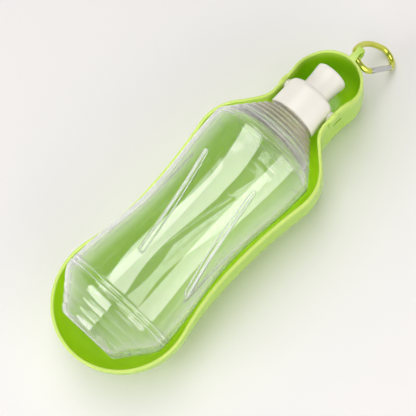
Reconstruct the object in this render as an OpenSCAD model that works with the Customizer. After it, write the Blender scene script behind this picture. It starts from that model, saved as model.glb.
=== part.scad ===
// Dog travel water bottle: a clear squeeze bottle hinged inside a leaf-shaped
// drinking trough, with a push-pull spout and a small carabiner on the trough's
// head. The bottle lies along X with its spout toward +X. Z = 0 is the flat
// band under the trough, and Y = 0 is the plane of symmetry.

/* [Trough] */
// X of the centre of the round foot end
foot_x = -79; // [-84:1:-74]
// Gap between the bottle's widest ring and the wall round the foot
foot_gap = 3.5; // [2:0.1:6]
// X of the narrowest place of the body
waist_x = -27; // [-32:1:-22]
// Gap between bottle and wall at the waist
waist_gap = 2.2; // [1.6:0.1:3]
// X of the widest place near the neck
belly_x = 37; // [33:1:40]
// Gap between bottle and wall at that place
belly_gap = 4.1; // [3:0.1:6]
// Radius of the shoulder corner in plan
belly_r = 30; // [26:1:32]
// Gap between cap and wall in the neck
neck_gap = 1.7; // [1.5:0.1:4]
// Plan radius of the inside corner between shoulder and neck
neck_fillet = 12; // [6:1:14]
// X of the centre of the round head end
head_x = 101; // [98:1:104]
// How much more the head end's radius is than half the neck's width
head_swell = 1.5; // [1:0.1:4]
// Depth of the rim under the bottle's axis
rim_drop = 1.6; // [0:0.2:5]
// Wall thickness
wall = 2; // [1.6:0.1:2.4]
// Height of the upright part of the wall at the foot
foot_lip = 4.2; // [2:0.2:10]
// Radius of that turn along the body
turn_body = 24; // [20:1:28]
// Radius of that turn in the neck and head
turn_neck = 18; // [14:0.5:18.5]
// Rounding of the rim's edges
edge_r = 0.6; // [0.3:0.1:0.7]

/* [Trough hinge] */
// X of the hinge axis
hinge_x = 84; // [82:0.5:86]
// Gap between the bottle's widest ring and the floor of the trough
rest_gap = 0.3; // [0.2:0.1:2]
// Height of the raised rim beside the hinge
ear_rise = 7; // [6:0.5:10]
// Length of the raised rim along its top
ear_len = 20; // [16:1:24]
// Length of each slope up to the raised rim
ear_slope = 17; // [12:1:20]
// Diameter of the hinge trunnions
trunnion_d = 6; // [5:0.2:6.4]
// Radial running clearance of a trunnion in its bore
run_fit = 0.06; // [0.03:0.01:0.1]
// Diameter of the pad round each hinge bore
pad_d = 10.4; // [9.6:0.2:10.8]
// Height of the pad over the outer wall
pad_h = 1.2; // [0.8:0.1:2]

/* [Lug] */
// Thickness of the lug along Y
lug_w = 5; // [4:0.2:6]
// Diameter of the hole in the lug
lug_hole_d = 6.8; // [6.7:0.1:7.4]
// Length of the straight part of that hole, between its flared mouths
lug_land = 0.8; // [0.6:0.1:1.2]
// Wall left round the hole
lug_wall = 1.4; // [1.3:0.1:3]
// Wall between the hole and the head
lug_root = 0.8; // [0.8:0.1:2]
// Shift of the lug from the middle of the head
lug_y = -1.2; // [-2:0.1:0]
// Depth of the gusset under the lug
lug_drop = 15; // [12:1:18]

/* [Bottle] */
// Wall of the bottle
bottle_wall = 0.9; // [0.8:0.1:1.2]
// Largest radius, at the double ring near the base
ring_r = 37.5; // [36:0.1:40]
// Radius at the waist
grip_r = 32.2; // [30:0.2:33]
// Radius under the shoulder
shoulder_r = 36.2; // [34:0.2:37]
// Radius of the foot edge
base_r = 21; // [18:0.5:23]
// X of the base
base_x = -107; // [-110:0.5:-105]
// Height of the dome pushed up into the base
dome_h = 5; // [3:0.5:8]
// Outer radius of the neck
neck_r = 12.6; // [12:0.1:13]
// Bore radius of the neck
neck_bore_r = 10.8; // [10:0.1:11]
// Radius of the support ledge under the cap
ledge_r = 16.4; // [15:0.1:17]
// Height of the moulded rings
ring_h = 0.5; // [0.3:0.1:0.8]
// Width of those rings
ring_w = 1.8; // [1:0.1:2.6]
// Number of grip grooves round the waist
groove_n = 5; // [3:1:8]
// Width of a grip groove
groove_w = 3; // [2:0.2:4]
// Depth of a grip groove
groove_h = 0.5; // [0.3:0.05:0.6]
// Length of a grip groove along the bottle
groove_len = 68; // [50:1:72]
// X of the middle of the grooves
groove_x = -20; // [-24:1:-16]
// Angle of the first groove from straight up
groove_angle = -18; // [-30:1:30]
// Slant of the grooves
groove_tilt = 10.4; // [0:0.2:12]

/* [Cap] */
// Outer radius of the cap
cap_r = 16.3; // [15:0.1:16.4]
// X of the cap's open edge
cap_x = 68.5; // [68:0.1:69]
// Length of the cap
cap_len = 20.2; // [19.6:0.1:23]
// Wall round the thread
cap_wall = 2.2; // [1.6:0.1:2.4]
// Thickness of the cap's top
cap_top = 4.5; // [3:0.1:5]
// Radius of the cap's rounded shoulder
cap_round = 3.5; // [2:0.1:4]
// Gap between a trunnion's shoulder and the trough wall
side_gap = 0.3; // [0.2:0.05:0.5]
// Thickness of the sealing ring
seal_t = 1.5; // [1:0.1:2]
// Face clearance between parts that touch
face_gap = 0.05; // [0.02:0.01:0.1]

/* [Spout] */
// Length of the spout
spout_len = 17; // [16:0.1:20]
// Radius of the rounded end of the spout
spout_round = 2.6; // [1.5:0.1:3]
// Width of the lip bead at the end
lip_w = 2.4; // [1.5:0.1:3]
// Height of the lip bead
lip_h = 0.4; // [0.2:0.1:0.8]
// Wall of the spout
spout_wall = 1.62; // [1.2:0.02:2]
// Outer radius of the tube that the spout slides on
tube_r = 8.2; // [7.6:0.1:8.4]
// Wall of that tube
tube_wall = 1.6; // [1.2:0.1:2]
// Radius of the valve post
post_r = 2.6; // [2:0.1:3]
// Travel of the spout when it is pulled open
pull = 5; // [3:0.5:6]
// Sliding clearance of the spout on its tube and post
slide_fit = 0.08; // [0.04:0.01:0.1]

/* [Carabiner] */
// Overall length of the ring's centre line
ring_len = 40.4; // [38:0.2:42]
// Overall width of the ring's centre line
ring_wide = 18.3; // [17.8:0.1:20]
// Bend radius at the end in the lug
ring_bend = 8.1; // [7.5:0.1:8.4]
// Bend radius at the far end
far_bend = 7.4; // [6.5:0.1:8]
// Diameter of the rod
rod_d = 3.8; // [3.4:0.1:4]
// Diameter of the gate
gate_d = 3.6; // [3.2:0.1:3.8]
// Diameter of the gate's rivet
rivet_d = 1.2; // [1:0.05:1.4]
// Thickness of the tongue and of the nose blade
tongue_t = 1.1; // [0.9:0.05:1.3]
// Clearance of the gate's moving faces
gate_gap = 0.12; // [0.08:0.01:0.2]
// Wire of the gate spring
wire_d = 0.4; // [0.3:0.05:0.5]
// Turns of the gate spring
spring_turns = 7; // [5:1:9]
// Place on the near bend that hangs in the lug, in degrees
hang_a = 153; // [140:1:165]
// Shift of the hanging rod along the hole
hang_shift = 1.3; // [1.1:0.1:1.5]
// Turn of the ring about its own length, in degrees
ring_roll = 17.7; // [10:0.1:20]
// Slope of the ring down to the table, in degrees
ring_pitch = 49.4; // [45:0.1:50]
// Turn of the ring sideways, in degrees
ring_yaw = -7.6; // [-12:0.1:-4]

/* [Hidden] */
$fn = 96;
lime = [0.56, 0.80, 0.08];
white = [0.95, 0.94, 0.90];

// Trough: half widths and heights that follow the bottle and the cap
axis_z = max(ring_r, shoulder_r) + wall + rest_gap;
rim_z = axis_z - rim_drop;
foot_r = ring_r + foot_gap + wall;
waist_half = grip_r + waist_gap + wall;
belly_half = shoulder_r + belly_gap + wall;
neck_half = cap_r + neck_gap + wall;
head_r = neck_half + head_swell;
turn_foot = rim_z - foot_lip;

// Plan radii of the two hollow sides, tangent to the corners beside them
foot_dx = waist_x - foot_x;
hollow_l = (foot_dx * foot_dx + waist_half * waist_half - foot_r * foot_r)
         / (2 * (foot_r - waist_half));
belly_cy = belly_half - belly_r;
belly_dx = belly_x - waist_x;
belly_k = waist_half - belly_cy;
hollow_r = (belly_dx * belly_dx + belly_k * belly_k - belly_r * belly_r)
         / (2 * (belly_r - belly_k));
turn_l = atan2(foot_dx, waist_half + hollow_l);
turn_rt = atan2(belly_dx, waist_half + hollow_r - belly_cy);
slope_x = belly_x + belly_r * sin(45);
slope_y = belly_cy + belly_r * sin(45);
neck_x = slope_x + slope_y - neck_half;
fillet_x = neck_x + neck_fillet * (sqrt(2) - 1);
slope_len = (slope_y - neck_half) * sqrt(2) - neck_fillet * (sqrt(2) - 1);
head_dx = head_x - hinge_x;
hollow_n = (head_dx * head_dx + neck_half * neck_half - head_r * head_r)
         / (2 * (head_r - neck_half));
turn_n = atan2(head_dx, neck_half + hollow_n);
top_z = rim_z + ear_rise;
head_end = head_x + head_r;

// Hinge and lug
bore_r = trunnion_d / 2 + run_fit;
lug_r = lug_hole_d / 2 + lug_wall;
lug_x = head_end + lug_root + lug_hole_d / 2;
lug_z = rim_z - lug_r;

// Bottle stations along X
cap_in_x = cap_x + cap_len - cap_top;
lip_x = cap_in_x - seal_t - 2 * face_gap;
ledge_x = cap_x - side_gap;
ring_x = base_x + 26;
grip_x = -20;
shoulder_x = 39;
shoulder_bend = 22;
shoulder_end = 50;
shoulder_rings = [22, 34, 46];
cone_x = shoulder_x + shoulder_bend * sin(shoulder_end);
cone_r = shoulder_r - shoulder_bend * (1 - cos(shoulder_end));
body_r = ring_r - ring_h;

// Spout stations along X
spout_x = cap_x + cap_len + side_gap;
spout_end = spout_x + spout_len;
spout_top = 2.4;
tube_end = spout_end - spout_top - side_gap;
bead_w = 1.2;
bead_h = 0.5;
spout_r = tube_r + bead_h + slide_fit + spout_wall;
rib_len = tube_end - bead_w - pull - face_gap - spout_x;

// Carabiner: centre line of one bend at each end and a bowed spine
near_k = sqrt(ring_wide - 2 * ring_bend);
far_k = sqrt(ring_wide - 2 * far_bend);
spine_x = ring_bend + (ring_len - ring_bend - far_bend) * near_k / (near_k + far_k);
spine_r = ring_wide / 2 + (spine_x - ring_bend) * (spine_x - ring_bend)
        / (2 * near_k * near_k);
spine_y = ring_wide - spine_r;
near_a = atan2(ring_bend - spine_y, ring_bend - spine_x);
far_a = atan2(far_bend - spine_y, ring_len - far_bend - spine_x);
rivet_x = ring_bend + gate_d / 2 + 0.3;
gate_end = ring_len - far_bend - 0.3;
pin_x = gate_end - 1.5;
pin_d = 1;
slot_w = tongue_t + 2 * gate_gap;
spring_bore = 2.1;
spring_x0 = rivet_x + 5.4;
spring_x1 = rivet_x + 13;

// ---- trough ----

// Rim line as [x, y, direction of the outward normal]
function arc_in(c, r, a0, a1, n) = [for (i = [0:n - 1]) let (a = a0 + (a1 - a0) * i / n)
    [c[0] + r * cos(a), c[1] + r * sin(a), a]];
function arc_out(c, r, a0, a1, n) = [for (i = [0:n - 1]) let (a = a0 + (a1 - a0) * i / n)
    [c[0] + r * cos(a), c[1] + r * sin(a), a + 180]];

half_line = concat(
    arc_in([foot_x, 0], foot_r, 180, 90 - turn_l, 16),
    arc_out([waist_x, waist_half + hollow_l], hollow_l, -90 - turn_l, -90, 6),
    arc_out([waist_x, waist_half + hollow_r], hollow_r, -90, -90 + turn_rt, 7),
    arc_in([belly_x, belly_cy], belly_r, 90 + turn_rt, 45, 8),
    [for (i = [0:2]) [slope_x + slope_len * sqrt(0.5) * i / 3,
                      slope_y - slope_len * sqrt(0.5) * i / 3, 45]],
    arc_out([fillet_x, neck_half + neck_fillet], neck_fillet, -135, -90, 4),
    [for (i = [0:1]) [fillet_x + (hinge_x - fillet_x) * i / 2, neck_half, 90]],
    arc_out([hinge_x, neck_half + hollow_n], hollow_n, -90, -90 + turn_n, 5),
    arc_in([head_x, 0], head_r, 90 + turn_n, 0, 12));
rim_line = concat(half_line, [[head_end, 0, 0]],
    [for (i = [len(half_line) - 1:-1:1]) [half_line[i][0], -half_line[i][1],
                                          -half_line[i][2]]]);

// Radius of the turn from wall to floor, softer at the foot and tighter in the neck
function turn(x) = turn_body + (turn_foot - turn_body) * ramp((waist_x - x)
    / (waist_x - foot_x)) - (turn_body - turn_neck) * ramp((x - belly_x)
    / (neck_x - belly_x));

// Point of the wall, n in from the rim line
function at(p, n, z) = [p[0] - n * cos(p[2]), p[1] - n * sin(p[2]), z];
function face(p, t) = let (r = turn(p[0])) [for (a = [0:15:90])
    at(p, r - (r - t) * cos(a), r - (r - t) * sin(a))];
function ring_pts(p) = concat(face(p, 0),
    [for (i = [6:-1:0]) face(p, wall)[i]],
    [at(p, wall, rim(p[0]) - edge_r), at(p, wall - edge_r, rim(p[0])),
     at(p, edge_r, rim(p[0])), at(p, 0, rim(p[0]) - edge_r)]);

// Shell swept round the rim line, closed by one floor face inside and one outside
module shell() {
    n = len(rim_line);
    m = 18;
    pts = [for (p = rim_line) each ring_pts(p)];
    walls = [for (i = [0:n - 1]) for (j = [0:m - 1]) if (j != 6)
        let (k = (i + 1) % n, l = (j + 1) % m)
        each [[i * m + j, i * m + l, k * m + l], [i * m + j, k * m + l, k * m + j]]];
    polyhedron(pts, concat(walls, [[for (i = [0:n - 1]) i * m + 6],
                                   [for (i = [n - 1:-1:0]) i * m + 7]]));
}

function ramp(u) = (1 - cos(180 * min(1, max(0, u)))) / 2;
function rim(x) = rim_z + ear_rise
    * ramp((ear_len / 2 + ear_slope - abs(x - hinge_x)) / ear_slope);

module lug() {
    translate([0, lug_y, 0]) rotate([90, 0, 0]) linear_extrude(lug_w, center = true) {
        translate([lug_x, lug_z]) circle(lug_r);
        polygon([[head_end - 1, rim_z - lug_drop], [lug_x, lug_z - lug_r],
                 [lug_x + lug_r, lug_z], [lug_x + lug_r, rim_z], [head_end - 1, rim_z]]);
    }
}

module trough() {
    color(lime) difference() {
        union() {
            shell();
            for (s = [-1, 1])
                translate([hinge_x, s * (neck_half - wall / 2), axis_z])
                    rotate([-90 * s, 0, 0]) cylinder(d = pad_d, h = wall / 2 + pad_h);
            lug();
        }
        translate([hinge_x, 0, axis_z]) rotate([90, 0, 0])
            cylinder(r = bore_r, h = 2 * (neck_half + pad_h) + 2, center = true);
        translate([lug_x, lug_y, lug_z]) rotate([90, 0, 0])
            cylinder(d = lug_hole_d, h = lug_w + 2, center = true);
        for (s = [-1, 1])
            translate([lug_x, lug_y + s * lug_land / 2, lug_z]) rotate([-90 * s, 0, 0])
                cylinder(r1 = lug_hole_d / 2, r2 = (lug_hole_d + lug_w) / 2,
                         h = lug_w / 2);
    }
}

// ---- bottle ----

function bump(x, r) = [[x - ring_w / 2, r], [x - ring_w / 4, r + ring_h],
                       [x + ring_w / 4, r + ring_h], [x + ring_w / 2, r]];
function sh(a, h) = [shoulder_x + (shoulder_bend + h) * sin(a),
                     shoulder_r - shoulder_bend + (shoulder_bend + h) * cos(a)];
function sh_bump(a) = [sh(a - 2, 0), sh(a - 1, ring_h), sh(a + 1, ring_h), sh(a + 2, 0)];

// Radius of the body between the double ring and the shoulder
function side(x) = x < grip_x
    ? grip_r + (body_r - grip_r) * ramp((grip_x - x) / (grip_x - ring_x))
    : grip_r + (shoulder_r - grip_r) * ramp((x - grip_x) / (shoulder_x - grip_x));

base_line = [[base_x, base_r], [base_x + 1.2, base_r + 2.4], [base_x + 3.5, base_r + 4.2],
             [base_x + 10.5, base_r + 8.4], [base_x + 14.5, body_r - 5],
             [base_x + 18, body_r - 1.8], [base_x + 21.5, body_r - 0.3]];
side_line = [for (i = [1:16]) let (x = ring_x + 4 + (shoulder_x - ring_x - 4) * i / 16)
             [x, side(x)]];
dome = [for (i = [0:6]) let (r = (base_r - 2) * i / 6)
        [base_x + dome_h * (1 - pow(r / (base_r - 2), 2)), r]];
inner_base = [for (p = base_line) [max(p[0], base_x) + bottle_wall * 0.8,
                                   p[1] - bottle_wall * 0.9]];
outer_line = concat(dome, base_line,
    bump(ring_x - 1.5, body_r), bump(ring_x + 1.5, body_r), side_line,
    [sh(8, 0)], [for (a = shoulder_rings) each concat([sh(a - 6, 0)], sh_bump(a))],
    [[cone_x, cone_r]]);
inner_line = concat([for (p = dome) [p[0] + bottle_wall, p[1]]], inner_base,
    [[ring_x, body_r - bottle_wall]],
    [for (p = side_line) [p[0], p[1] - bottle_wall]],
    [for (a = [8:8:48]) sh(a, -bottle_wall)], [sh(shoulder_end, -bottle_wall)]);

module revolve_x(pts) {
    rotate([0, 90, 0]) rotate_extrude($fn = 128)
        polygon([for (p = pts) [p[1], p[0]]]);
}

groove_tool = (groove_w * groove_w / 4 + groove_h * groove_h) / (2 * groove_h);
groove_sag = side(groove_x + groove_len / 2) - grip_r + groove_h;
groove_bend = (groove_len * groove_len / 4 + groove_sag * groove_sag) / (2 * groove_sag);

// Bar bowed a little more than the waist, so each groove fades out at its ends
module grip_bar() {
    cl = groove_bend - groove_tool + groove_h;
    a = asin(min(1, (groove_len / 2 + 8) / groove_bend));
    translate([0, 0, grip_r + groove_bend]) rotate([-90, 0, 0]) rotate([0, 0, 90 - a])
        rotate_extrude(angle = 2 * a, $fn = 360)
            translate([cl, 0]) circle(groove_tool, $fn = 32);
}

module bottle() {
    color([0.86, 0.93, 0.88, 0.45]) translate([0, 0, axis_z]) difference() {
        revolve_x(concat(outer_line,
            [[ledge_x - 1.6, ledge_r], [ledge_x, ledge_r], [ledge_x, neck_r],
             [lip_x, neck_r], [lip_x, neck_bore_r], [ledge_x - 1.6, neck_bore_r]],
            [for (i = [len(inner_line) - 1:-1:0]) inner_line[i]]));
        for (i = [0:groove_n - 1])
            rotate([groove_angle + 360 * i / groove_n, 0, 0])
                translate([groove_x, 0, 0]) rotate([0, 0, groove_tilt]) grip_bar();
    }
}

// ---- cap and spout ----

module cap() {
    color(white) translate([0, 0, axis_z]) {
        difference() {
            union() {
                rotate([0, 90, 0]) rotate_extrude() {
                    translate([0, cap_x]) square([cap_r - cap_round, cap_len]);
                    translate([0, cap_x + 0.6]) square([cap_r, cap_len - cap_round - 0.6]);
                    translate([cap_r - cap_round, cap_x + cap_len - cap_round])
                        circle(cap_round);
                    polygon([[0, cap_x], [cap_r - 0.6, cap_x], [cap_r, cap_x + 0.6],
                             [0, cap_x + 0.6]]);
                    translate([0, cap_x + cap_len - 1]) square([tube_r, tube_end - cap_x
                        - cap_len + 1]);
                    translate([0, tube_end - bead_w]) square([tube_r + bead_h, bead_w]);
                }
                for (s = [-1, 1])
                    translate([hinge_x, s * (cap_r - cap_wall + 0.1), 0])
                        rotate([-90 * s, 0, 0]) {
                            cylinder(d = trunnion_d + 3,
                                h = neck_half - wall - side_gap - cap_r + cap_wall - 0.1);
                            cylinder(d = trunnion_d,
                                h = neck_half + pad_h - side_gap - cap_r + cap_wall - 0.1);
                        }
            }
            rotate([0, 90, 0]) rotate_extrude() {
                translate([0, cap_x - 1]) square([cap_r - cap_wall, cap_in_x - cap_x + 1]);
                translate([post_r, cap_in_x - 0.5])
                    square([tube_r - tube_wall - post_r, tube_end - cap_in_x + 1]);
            }
        }
        translate([cap_in_x, 0, 0]) rotate([0, 90, 0]) {
            cylinder(r = post_r, h = spout_end - cap_in_x - 0.2);
            for (a = [0, 120, 240])
                rotate([0, 0, a]) translate([0, -0.8, 0])
                    cube([tube_r - tube_wall + 0.3, 1.6, cap_top]);
        }
    }
}

module sealing_ring() {
    color([0.93, 0.93, 0.90]) translate([cap_in_x - seal_t - face_gap, 0, axis_z])
        rotate([0, 90, 0]) difference() {
            cylinder(r = cap_r - cap_wall - 0.2, h = seal_t);
            translate([0, 0, -1]) cylinder(r = tube_r - tube_wall + 1.2, h = seal_t + 2);
        }
}

module spout() {
    color(white) translate([0, 0, axis_z]) rotate([0, 90, 0]) rotate_extrude() {
        difference() {
            union() {
                translate([0, spout_x]) square([spout_r, spout_len - spout_round]);
                translate([0, spout_x]) square([spout_r + lip_h - spout_round, spout_len]);
                translate([spout_r + lip_h - spout_round, spout_end - spout_round])
                    circle(spout_round);
                translate([0, spout_end - spout_round - lip_w])
                    square([spout_r + lip_h, lip_w]);
            }
            translate([0, spout_x - 1]) square([tube_r + slide_fit, rib_len + 1]);
            translate([0, spout_x + rib_len])
                square([tube_r + bead_h + slide_fit, spout_len - spout_top - rib_len]);
            translate([0, spout_x]) square([post_r + slide_fit, spout_len + 1]);
        }
    }
}

// ---- carabiner ----

// Frame of the ring: X runs down its length, Y from the gate to the spine
module ring_frame() {
    translate([lug_x, lug_y + hang_shift, lug_z]) rotate([ring_roll, ring_pitch, ring_yaw])
        translate([-ring_bend * (1 + cos(hang_a)), -ring_bend * (1 + sin(hang_a)), 0])
            children();
}

// Centre line of the rod as [x, y, direction of the outward normal]
rod_line = concat(
    arc_in([ring_bend, ring_bend], ring_bend, 270, near_a, 14),
    arc_in([spine_x, spine_y], spine_r, near_a, far_a, 14),
    arc_in([ring_len - far_bend, far_bend], far_bend, far_a, -90, 14),
    [[ring_len - far_bend, 0, -90]]);

module rod() {
    m = 16;
    n = len(rod_line);
    pts = [for (p = rod_line) for (j = [0:m - 1]) let (b = 360 * j / m,
        d = rod_d / 2 * cos(b))
        [p[0] + d * cos(p[2]), p[1] + d * sin(p[2]), rod_d / 2 * sin(b)]];
    walls = [for (i = [0:n - 2]) for (j = [0:m - 1]) let (l = (j + 1) % m)
        each [[i * m + j, (i + 1) * m + l, i * m + l],
              [i * m + j, (i + 1) * m + j, (i + 1) * m + l]]];
    polyhedron(pts, concat(walls, [[for (j = [0:m - 1]) j],
                                   [for (j = [m - 1:-1:0]) (n - 1) * m + j]]));
}

module carabiner_ring() {
    color([0.72, 0.76, 0.18]) ring_frame() {
        difference() {
            union() {
                rod();
                translate([ring_bend - 0.6, -1.3, -tongue_t / 2])
                    cube([rivet_x - ring_bend + 0.6, 2.6, tongue_t]);
                translate([rivet_x, 0, 0]) cylinder(r = 1.3, h = tongue_t, center = true);
                translate([pin_x - 1.3, -1.5, -tongue_t / 2])
                    cube([ring_len - far_bend - pin_x + 1.9, 2.6, tongue_t]);
            }
            translate([rivet_x, 0, 0])
                cylinder(d = rivet_d + 2 * run_fit, h = tongue_t + 2, center = true);
            translate([pin_x, 0, 0]) cylinder(d = pin_d + 0.5, h = tongue_t + 2, center = true);
            translate([pin_x - pin_d / 2 - 0.25, 0, -tongue_t])
                cube([pin_d + 0.5, 3, 2 * tongue_t]);
        }
    }
}

module carabiner_gate() {
    color([0.80, 0.81, 0.80]) ring_frame() difference() {
        union() {
            translate([rivet_x, 0, 0]) rotate([0, 90, 0])
                cylinder(d = gate_d, h = gate_end - rivet_x);
            translate([rivet_x, 0, 0]) sphere(d = gate_d);
        }
        translate([rivet_x - gate_d, -gate_d, -slot_w / 2])
            cube([gate_d + 2, 2 * gate_d, slot_w]);
        translate([pin_x - 1.9, -gate_d, -slot_w / 2]) cube([5, 2 * gate_d, slot_w]);
        translate([rivet_x, 0, 0]) cylinder(d = rivet_d, h = gate_d + 2, center = true);
        translate([pin_x, 0, 0]) cylinder(d = pin_d, h = gate_d + 2, center = true);
        translate([rivet_x + 1.6, 0, 0]) rotate([0, 90, 0]) cylinder(d = spring_bore,
            h = spring_x1 - rivet_x - 1.6);
    }
}

module gate_rivet() {
    color([0.75, 0.75, 0.74]) ring_frame() translate([rivet_x, 0, 0])
        cylinder(d = rivet_d, h = gate_d - 0.5, center = true);
}

module gate_pin() {
    color([0.75, 0.75, 0.74]) ring_frame() translate([pin_x, 0, 0])
        cylinder(d = pin_d, h = gate_d - 0.5, center = true);
}

module gate_plunger() {
    color([0.75, 0.75, 0.74]) ring_frame() translate([rivet_x + 1.6, 0, 0])
        rotate([0, 90, 0]) cylinder(d = spring_bore - 0.3, h = spring_x0 - rivet_x - 1.6);
}

// Coil of round wire as one swept tube
spring_sides = 6;
spring_steps = 8;
spring_n = spring_turns * spring_steps;
spring_cr = (spring_bore - 0.2 - wire_d) / 2;
spring_rise = spring_x1 - spring_x0 - wire_d - 0.1;
function coil(i, j) = let (a = 360 * i / spring_steps, b = 360 * j / spring_sides,
    x = spring_x0 + wire_d / 2 + 0.05 + spring_rise * i / spring_n)
    [x + wire_d / 2 * sin(b), (spring_cr + wire_d / 2 * cos(b)) * cos(a),
     (spring_cr + wire_d / 2 * cos(b)) * sin(a)];

module gate_spring() {
    s = spring_sides;
    pts = [for (i = [0:spring_n]) for (j = [0:s - 1]) coil(i, j)];
    a = [for (i = [0:spring_n - 1]) for (j = [0:s - 1])
        [i * s + j, i * s + (j + 1) % s, (i + 1) * s + (j + 1) % s]];
    b = [for (i = [0:spring_n - 1]) for (j = [0:s - 1])
        [i * s + j, (i + 1) * s + (j + 1) % s, (i + 1) * s + j]];
    ends = [for (j = [1:s - 2]) each [[0, j + 1, j],
        [spring_n * s, spring_n * s + j, spring_n * s + j + 1]]];
    color([0.70, 0.70, 0.70]) ring_frame() polyhedron(pts, concat(a, b, ends));
}

trough();
bottle();
cap();
sealing_ring();
spout();
carabiner_ring();
carabiner_gate();
gate_rivet();
gate_pin();
gate_plunger();
gate_spring();
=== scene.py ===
import math

import bmesh
import bpy
from mathutils import Matrix, Vector


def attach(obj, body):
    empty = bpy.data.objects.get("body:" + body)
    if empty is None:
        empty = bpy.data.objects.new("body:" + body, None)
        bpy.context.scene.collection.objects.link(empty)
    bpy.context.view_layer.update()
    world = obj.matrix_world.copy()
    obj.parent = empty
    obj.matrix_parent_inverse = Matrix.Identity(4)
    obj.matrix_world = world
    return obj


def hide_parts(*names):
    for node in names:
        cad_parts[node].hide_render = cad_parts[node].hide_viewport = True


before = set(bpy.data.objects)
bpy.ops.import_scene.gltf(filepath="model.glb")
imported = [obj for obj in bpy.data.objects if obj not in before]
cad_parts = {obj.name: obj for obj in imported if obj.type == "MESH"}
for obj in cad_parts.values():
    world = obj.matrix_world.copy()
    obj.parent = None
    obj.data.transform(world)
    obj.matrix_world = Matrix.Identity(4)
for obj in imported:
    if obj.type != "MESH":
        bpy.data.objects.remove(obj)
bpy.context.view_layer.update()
scene = bpy.context.scene
scene.view_settings.view_transform = "Standard"
mm = 0.001
print("frame loaded")

# the photograph's angle, found by fitting outlines
cameraSet = {
    "place": (-112.6, -219.7, 716.4),   # mm
    "right": (0.6781, -0.7239, -0.1273),
    "down": (-0.7197, -0.6188, -0.3147),
    "lens": 105.6,                      # mm, on a 36 mm sensor
}


def addCamera(values):
    right = Vector(values["right"]).normalized()
    up = -Vector(values["down"]).normalized()
    back = right.cross(up).normalized()
    up = back.cross(right)
    turn = Matrix((right, up, back)).transposed().to_4x4()
    data = bpy.data.cameras.new("camera")
    data.lens = values["lens"]
    data.sensor_width = 36
    data.clip_start, data.clip_end = 0.01, 20
    camera = bpy.data.objects.new("camera", data)
    scene.collection.objects.link(camera)
    camera.matrix_world = Matrix.Translation(Vector(values["place"]) * mm) @ turn
    scene.camera = camera


addCamera(cameraSet)
print("camera set")


class Wire:  # a socket that can be used in sums
    def __init__(self, paint, socket):
        self.paint, self.socket = paint, socket

    def work(self, operation, first, second=0.0):
        return self.paint.add("Math", {"operation": operation}, [first, second])

    def __add__(self, other):
        return self.work("ADD", self, other)

    def __radd__(self, other):
        return self.work("ADD", other, self)

    def __sub__(self, other):
        return self.work("SUBTRACT", self, other)

    def __rsub__(self, other):
        return self.work("SUBTRACT", other, self)

    def __mul__(self, other):
        return self.work("MULTIPLY", self, other)

    def __rmul__(self, other):
        return self.work("MULTIPLY", other, self)

    def __pow__(self, other):
        return self.work("POWER", self, other)


class Paint:
    def __init__(self, name, library=bpy.data.materials):
        self.material = library.new(name)
        self.material.use_nodes = True
        self.tree = self.material.node_tree
        self.tree.nodes.clear()

    def add(self, kind, settings=None, inputs=None, out=0):
        node = self.tree.nodes.new("ShaderNode" + kind)
        for key, value in (settings or {}).items():
            setattr(node, key, value)
        pairs = inputs.items() if isinstance(inputs, dict) else enumerate(inputs or [])
        for key, value in pairs:
            if isinstance(value, Wire):
                self.tree.links.new(value.socket, node.inputs[key])
            else:
                node.inputs[key].default_value = value
        return Wire(self, node.outputs[out])

    def mix(self, factor, first, second):
        return self.add("Mix", {"data_type": "RGBA"}, {0: factor, 6: first, 7: second}, 2)

    def noise(self, scale, detail=2.0, stretch=(1, 1, 1)):
        place = self.add("TexCoord", out="Object")
        place = self.add("Mapping", {}, {"Vector": place, "Scale": stretch})
        return self.add("TexNoise", {}, {"Vector": place, "Scale": scale, "Detail": detail})

    def trait(self, name):
        return self.add("Attribute", {"attribute_name": name}, out="Fac")

    def bump(self, height, strength, distance):
        return self.add("Bump", {}, {"Strength": strength, "Distance": distance,
                                     "Height": height})

    def surface(self, **inputs):
        named = {key.replace("_", " "): value for key, value in inputs.items()}
        return self.add("BsdfPrincipled", {}, named)

    def close(self, shader, kind="ShaderNodeOutputMaterial"):
        end = self.tree.nodes.new(kind)
        self.tree.links.new(shader.socket, end.inputs["Surface"])
        return self.material


limeSet = {
    "inner": (0.490, 0.820, 0.012, 1),
    "deep": (0.410, 0.730, 0.008, 1),
    # painted light: the outer wall's paler colour stands in for light bounced from the floor
    "outer": (0.400, 0.640, 0.060, 1),
    # painted light: the rim's paler colour is a painted glow
    "rim": (0.620, 0.800, 0.160, 1),
    "roughness": 0.24,
}


def limePlastic(values):
    p = Paint("limePlastic")
    cloud = p.noise(28, 3)
    grain = p.noise(900, 2)
    scuffAndHighlight = p.noise(160, 4, (1, 0.15, 1))
    body = p.mix(cloud * 0.5, values["inner"], values["deep"])
    # painted light: the outer wall is painted paler, more so higher up
    body = p.mix(p.trait("outside"), body, values["outer"])
    # painted light: a pale band along the rim stands in for light glowing in the thin plastic
    body = p.mix(p.trait("rimPaintedGlow"), body, values["rim"])
    rough = scuffAndHighlight * 0.12 + (values["roughness"] - 0.06)
    return p.close(p.surface(Base_Color=body, Roughness=rough, IOR=1.5,
                             Subsurface_Weight=0.12, Subsurface_Radius=(0.6, 1.0, 0.1),
                             Subsurface_Scale=0.004,
                             Normal=p.bump(grain, 0.04, 0.0003)))


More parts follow.
